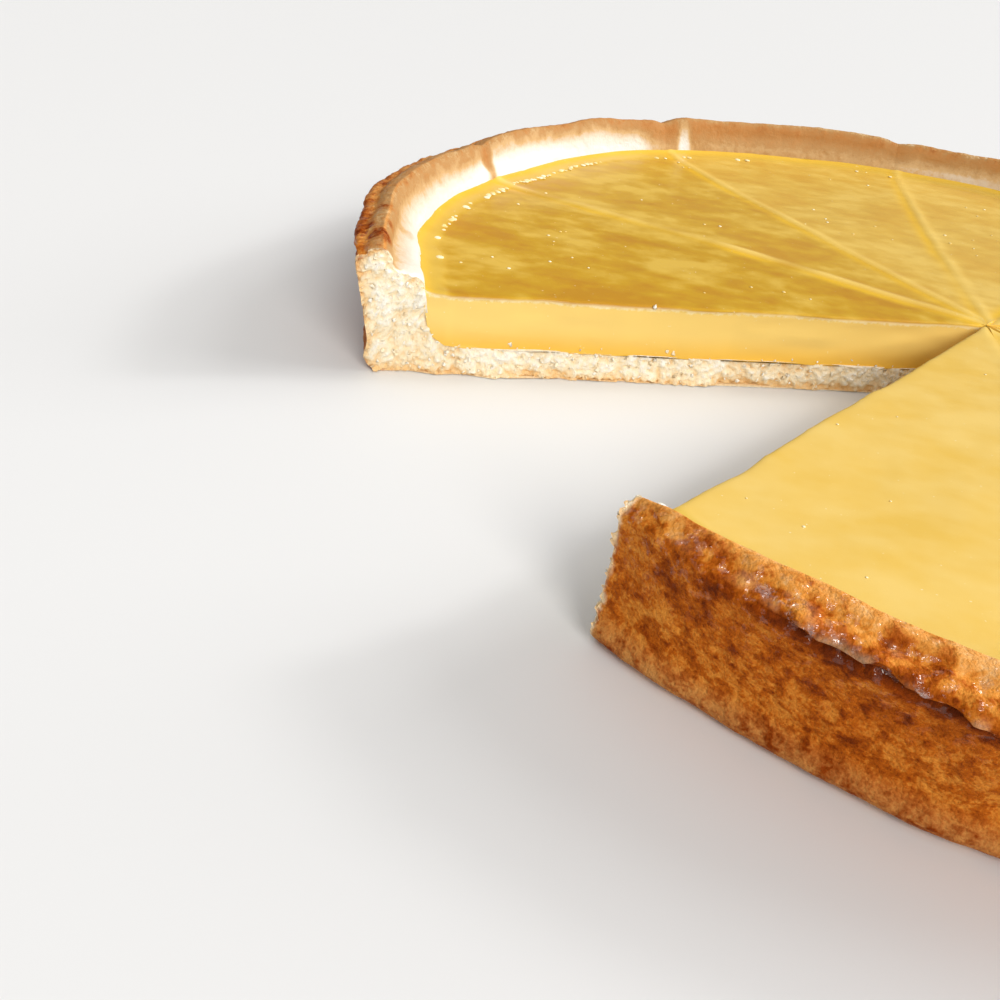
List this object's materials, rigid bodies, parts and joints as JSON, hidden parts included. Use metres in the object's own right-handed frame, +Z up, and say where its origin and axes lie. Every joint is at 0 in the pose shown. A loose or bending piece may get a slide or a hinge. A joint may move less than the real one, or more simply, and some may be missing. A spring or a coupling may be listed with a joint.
{
  "type": "lemon tart",
  "caption": "Round lemon tart in a hand-pressed shortcrust case with a folded rim, filled with curd and cut into wedges, with one wedge taken out.",
  "frame": {"origin": "the middle of the tart, on the flat underside that it stands on", "axes": "+Z up; -Y is towards the viewer of the picture; the missing wedge opens towards -X and -Y"},
  "size_m": [0.2513, 0.2463, 0.0255],
  "materials": {
    "crust": "browned shortcrust pastry: mottled golden brown outside, pale inner wall, white crumb where cut",
    "filling": "set lemon curd: a blotchy golden skin with a soft shine, paler and smooth where cut"
  },
  "bodies": {
    "root": {"crust_1": "crust", "crust_2": "crust", "crust_3": "crust", "crust_4": "crust", "crust_5": "crust", "crust_6": "crust", "crust_7": "crust", "crust_8": "crust", "crust_9": "crust", "filling_1": "filling", "filling_2": "filling", "filling_3": "filling", "filling_4": "filling", "filling_5": "filling", "filling_6": "filling", "filling_7": "filling", "filling_8": "filling", "filling_9": "filling"}
  },
  "joints": []
}
